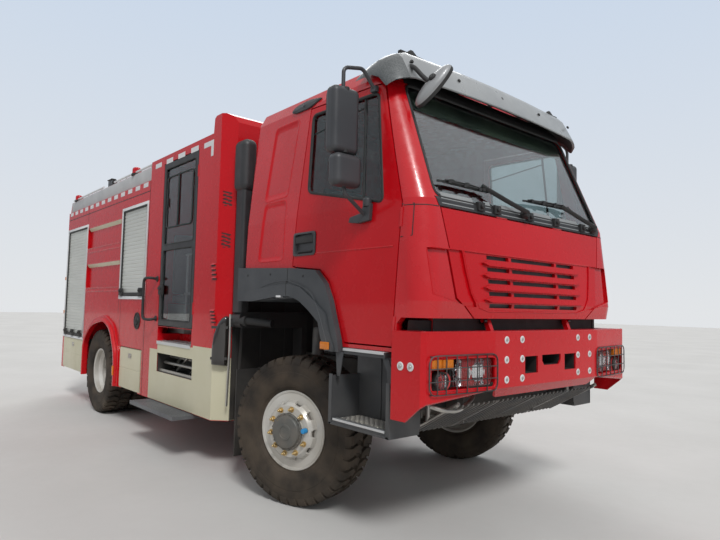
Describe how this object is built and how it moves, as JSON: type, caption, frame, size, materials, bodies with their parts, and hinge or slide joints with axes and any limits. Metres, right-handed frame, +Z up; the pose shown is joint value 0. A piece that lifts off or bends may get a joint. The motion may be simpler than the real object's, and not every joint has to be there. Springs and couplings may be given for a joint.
{
  "type": "fire truck",
  "caption": "Four-wheel-drive fire truck with a tilting forward cab, a separate crew cabin, an equipment body with roller shutters and lockers, and twin rear wheels.",
  "frame": {"origin": "on the ground, under the middle of the truck's overall length and width", "axes": "+X towards the front bumper, +Y to the truck's left, +Z up"},
  "size_m": [8.216, 3.02, 3.3603],
  "materials": {
    "beacon_red": "gloss",
    "black_plastic": "matte",
    "cream_paint": "satin",
    "dash_plastic": "matte",
    "engine_paint": "matte",
    "frame_paint": "satin",
    "glass": "clear",
    "lamp_lens": "clear",
    "mirror_grey": "satin",
    "mudflap_rubber": "matte",
    "red_paint": "gloss",
    "rim_paint": "satin",
    "seat_fabric": "matte",
    "shutter_alu": "satin",
    "step_alu": "brushed",
    "tyre": "matte",
    "visor_grey": "satin"
  },
  "bodies": {
    "chassis": {"frame": "frame_paint", "engine": "engine_paint", "driveline": "frame_paint", "ladder": "step_alu", "front_axle": "frame_paint", "rear_axle": "frame_paint", "bumper": "red_paint", "lamps": "lamp_lens", "lamp_guards": "black_plastic", "skid_guard": "frame_paint", "cab_steps": "black_plastic", "intake": "black_plastic", "mudflaps": "mudflap_rubber", "crew_cabin": "red_paint", "crew_seats": "seat_fabric", "equipment_body": "red_paint", "shutters": "shutter_alu", "roof_lights": "beacon_red", "rear_bar": "frame_paint"},
    "cab": {"cab_shell": "red_paint", "windscreen": "glass", "cowl": "black_plastic", "visor": "visor_grey", "front_mirror": "visor_grey", "flares": "black_plastic", "seats": "seat_fabric", "dashboard": "dash_plastic", "cab_beacon": "beacon_red"},
    "front_flap": {"front_flap": "red_paint", "grille_back": "black_plastic"},
    "steering_wheel": {"steering_wheel": "black_plastic"},
    "cab_door_right": {"cab_door_right": "red_paint", "door_glass_right": "glass", "mirrors_right": "mirror_grey"},
    "crew_door_right": {"crew_door_right": "black_plastic", "crew_glass_right": "glass"},
    "crew_step_right": {"crew_step_right": "step_alu"},
    "locker_flap_front_right": {"locker_flap_front_right": "cream_paint"},
    "locker_flap_rear_right": {"locker_flap_rear_right": "cream_paint"},
    "knuckle_right": {"knuckle_right": "frame_paint"},
    "wheel_front_right": {"wheel_front_right": "rim_paint", "tyre_front_right": "tyre"},
    "wheel_rear_right": {"wheel_rear_right": "rim_paint", "tyre_rear_right": "tyre"},
    "cab_door_left": {"cab_door_left": "red_paint", "door_glass_left": "glass", "mirrors_left": "mirror_grey"},
    "crew_door_left": {"crew_door_left": "black_plastic", "crew_glass_left": "glass"},
    "crew_step_left": {"crew_step_left": "step_alu"},
    "locker_flap_front_left": {"locker_flap_front_left": "cream_paint"},
    "locker_flap_rear_left": {"locker_flap_rear_left": "cream_paint"},
    "knuckle_left": {"knuckle_left": "frame_paint"},
    "wheel_front_left": {"wheel_front_left": "rim_paint", "tyre_front_left": "tyre"},
    "wheel_rear_left": {"wheel_rear_left": "rim_paint", "tyre_rear_left": "tyre"}
  },
  "joints": [
    {"name": "cab_tilt", "type": "hinge", "parent": "chassis", "child": "cab", "pos_m": [3.91, 0, 1.44], "axis": [0, 1, 0], "range_deg": [0, 50]},
    {"name": "front_flap_lift", "type": "hinge", "parent": "cab", "child": "front_flap", "pos_m": [3.923, 0, 2.152], "axis": [0, -1, 0], "range_deg": [0, 60]},
    {"name": "steering_wheel_turn", "type": "hinge", "parent": "cab", "child": "steering_wheel", "pos_m": [3.38, 0.62, 2.15], "axis": [-0.5736, 0, 0.8192], "range_deg": [-795, 255]},
    {"name": "cab_door_right_swing", "type": "hinge", "parent": "cab", "child": "cab_door_right", "pos_m": [3.77, -1.185, 2.18], "axis": [0.0769, 0, 0.997], "range_deg": [0, 70]},
    {"name": "crew_door_right_swing", "type": "hinge", "parent": "chassis", "child": "crew_door_right", "pos_m": [0.935, -1.25, 2.15], "axis": [0, 0, 1], "range_deg": [0, 85]},
    {"name": "crew_step_right_slide", "type": "slide", "parent": "chassis", "child": "crew_step_right", "axis": [0, 1, 0], "range_m": [0, 0.25]},
    {"name": "locker_flap_front_right_drop", "type": "hinge", "parent": "chassis", "child": "locker_flap_front_right", "pos_m": [-0.77, -1.25, 0.455], "axis": [1, 0, 0], "range_deg": [0, 90]},
    {"name": "locker_flap_rear_right_drop", "type": "hinge", "parent": "chassis", "child": "locker_flap_rear_right", "pos_m": [-3.31, -1.25, 0.455], "axis": [1, 0, 0], "range_deg": [0, 90]},
    {"name": "steer_right", "type": "hinge", "parent": "chassis", "child": "knuckle_right", "pos_m": [2.48, -0.8, 0.562], "axis": [0, 0, 1], "range_deg": [-53, 17]},
    {"name": "roll_front_right", "type": "hinge", "parent": "knuckle_right", "child": "wheel_front_right", "pos_m": [2.55664, -1.03586, 0.562], "axis": [-0.309, 0.9511, 0], "continuous": true},
    {"name": "roll_rear_right", "type": "hinge", "parent": "chassis", "child": "wheel_rear_right", "pos_m": [-2.04, -0.91, 0.562], "axis": [0, 1, 0], "continuous": true},
    {"name": "cab_door_left_swing", "type": "hinge", "parent": "cab", "child": "cab_door_left", "pos_m": [3.77, 1.185, 2.18], "axis": [-0.0769, 0, -0.997], "range_deg": [0, 70]},
    {"name": "crew_door_left_swing", "type": "hinge", "parent": "chassis", "child": "crew_door_left", "pos_m": [0.935, 1.25, 2.15], "axis": [0, 0, -1], "range_deg": [0, 85]},
    {"name": "crew_step_left_slide", "type": "slide", "parent": "chassis", "child": "crew_step_left", "axis": [0, -1, 0], "range_m": [0, 0.25]},
    {"name": "locker_flap_front_left_drop", "type": "hinge", "parent": "chassis", "child": "locker_flap_front_left", "pos_m": [-0.77, 1.25, 0.455], "axis": [-1, 0, 0], "range_deg": [0, 90]},
    {"name": "locker_flap_rear_left_drop", "type": "hinge", "parent": "chassis", "child": "locker_flap_rear_left", "pos_m": [-3.31, 1.25, 0.455], "axis": [-1, 0, 0], "range_deg": [0, 90]},
    {"name": "steer_left", "type": "hinge", "parent": "chassis", "child": "knuckle_left", "pos_m": [2.48, 0.8, 0.562], "axis": [0, 0, 1], "range_deg": [-53, 17]},
    {"name": "roll_front_left", "type": "hinge", "parent": "knuckle_left", "child": "wheel_front_left", "pos_m": [2.40336, 1.03586, 0.562], "axis": [-0.309, 0.9511, 0], "continuous": true},
    {"name": "roll_rear_left", "type": "hinge", "parent": "chassis", "child": "wheel_rear_left", "pos_m": [-2.04, 0.91, 0.562], "axis": [0, 1, 0], "continuous": true}
  ],
  "couplings": [
    {"joint": "steer_left", "follows": "steer_right", "ratio": 1},
    {"joint": "steering_wheel_turn", "follows": "steer_right", "ratio": 15}
  ]
}
